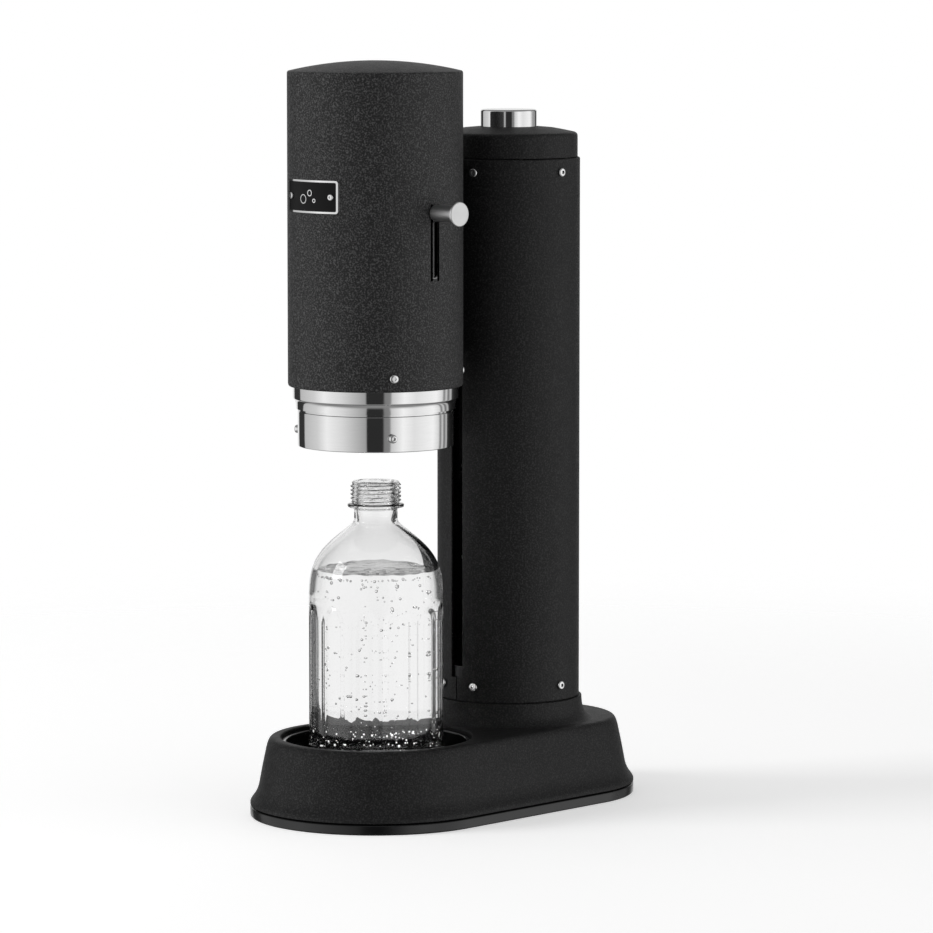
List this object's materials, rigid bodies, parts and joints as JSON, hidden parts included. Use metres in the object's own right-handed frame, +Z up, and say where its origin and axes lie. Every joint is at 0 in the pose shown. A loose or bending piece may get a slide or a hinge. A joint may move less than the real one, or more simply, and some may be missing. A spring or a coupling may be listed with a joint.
{
  "type": "soda carbonator",
  "caption": "Manual soda carbonator: round head with a sliding steel shield and side lever, gas column with a press button, oval base with drip tray, and a glass bottle.",
  "frame": {"origin": "middle of the footprint, on the surface that it stands on", "axes": "+Z up, -Y to the front where the bottle stands, +X to the lever's side"},
  "size_m": [0.1572, 0.2766, 0.4691],
  "materials": {
    "powder_coat": "black powder coat with a fine sand texture, matt",
    "gloss_black": "glossy black",
    "foot_rubber": "semi-gloss black rubber",
    "nylon": "moulded black nylon",
    "polished_steel": "polished stainless steel",
    "brushed_steel": "satin turned steel",
    "aluminium": "satin aluminium",
    "brass": "turned brass",
    "seal_rubber": "grey silicone rubber",
    "glass": "clear glass"
  },
  "bodies": {
    "frame": {"base_plate": "nylon", "base_screw_1": "brushed_steel", "base_screw_2": "brushed_steel", "base_screw_3": "brushed_steel", "base_screw_4": "brushed_steel", "base_shell": "powder_coat", "chassis_plate": "brushed_steel", "column_cap": "powder_coat", "column_ring": "nylon", "column_screw_foot_1": "polished_steel", "column_screw_foot_2": "polished_steel", "column_screw_foot_3": "polished_steel", "column_screw_foot_4": "polished_steel", "column_screw_top_1": "polished_steel", "column_screw_top_2": "polished_steel", "column_screw_top_3": "polished_steel", "column_screw_top_4": "polished_steel", "column_shell": "powder_coat", "column_socket": "nylon", "foot_ring": "foot_rubber", "gear_axle": "brushed_steel", "head_collar": "polished_steel", "head_shell": "powder_coat", "nameplate": "gloss_black", "nameplate_screw_1": "polished_steel", "nameplate_screw_2": "polished_steel", "neck_bracket": "gloss_black", "neck_screw_1": "polished_steel", "neck_screw_2": "polished_steel", "shell_screw_1": "polished_steel", "shell_screw_2": "polished_steel", "shell_screw_3": "polished_steel", "shell_screw_4": "polished_steel", "valve_block": "brass", "button_spring": "brushed_steel"},
    "shield": {"shield_tube": "polished_steel", "shield_hem": "polished_steel", "carriage_plate": "nylon", "nozzle_block": "gloss_black", "mouth_seal": "seal_rubber", "gas_lance": "polished_steel", "shield_arm": "brushed_steel", "shield_rack": "nylon", "hem_screw_1": "polished_steel", "hem_screw_2": "polished_steel", "hem_screw_3": "polished_steel"},
    "lever": {"lever_knob": "brushed_steel", "lever_slider": "brushed_steel", "lever_rack": "nylon"},
    "drive": {"drive_gear": "nylon", "drive_pinion": "brushed_steel"},
    "tray": {"drip_tray": "gloss_black"},
    "bottle": {"bottle": "glass"},
    "button": {"gas_button": "polished_steel", "valve_pin": "brushed_steel"},
    "cylinder": {"gas_cylinder": "aluminium", "cylinder_valve": "brass"}
  },
  "joints": [
    {"name": "shield_slide", "type": "slide", "parent": "frame", "child": "shield", "axis": [0, 0, 1], "range_m": [-0.198, 0]},
    {"name": "lever_slide", "type": "slide", "parent": "frame", "child": "lever", "axis": [0, 0, 1], "range_m": [-0.036, 0]},
    {"name": "drive_turn", "type": "hinge", "parent": "frame", "child": "drive", "pos_m": [0, 0.0265, 0.213], "axis": [0, 1, 0], "range_deg": [-516, 0.5]},
    {"name": "button_press", "type": "slide", "parent": "frame", "child": "button", "axis": [0, 0, 1], "range_m": [-0.004, 0], "stiffness_N_per_m": 1200, "springref_m": 0.003, "deforming": ["button_spring"]},
    {"name": "tray_lift", "type": "slide", "parent": "frame", "child": "tray", "axis": [0, 0, 1], "range_m": [0, 0.018]},
    {"name": "bottle_lift", "type": "slide", "parent": "tray", "child": "bottle", "axis": [0, 0, 1], "range_m": [0, 0.02]},
    {"name": "cylinder_turn", "type": "hinge", "parent": "frame", "child": "cylinder", "pos_m": [0, 0.0623, 0.2], "axis": [0, 0, 1], "range_deg": [0, 720]}
  ],
  "couplings": [
    {"joint": "lever_slide", "follows": "shield_slide", "ratio": 0.18182},
    {"joint": "drive_turn", "follows": "shield_slide", "rad_per_m": 45.455}
  ]
}
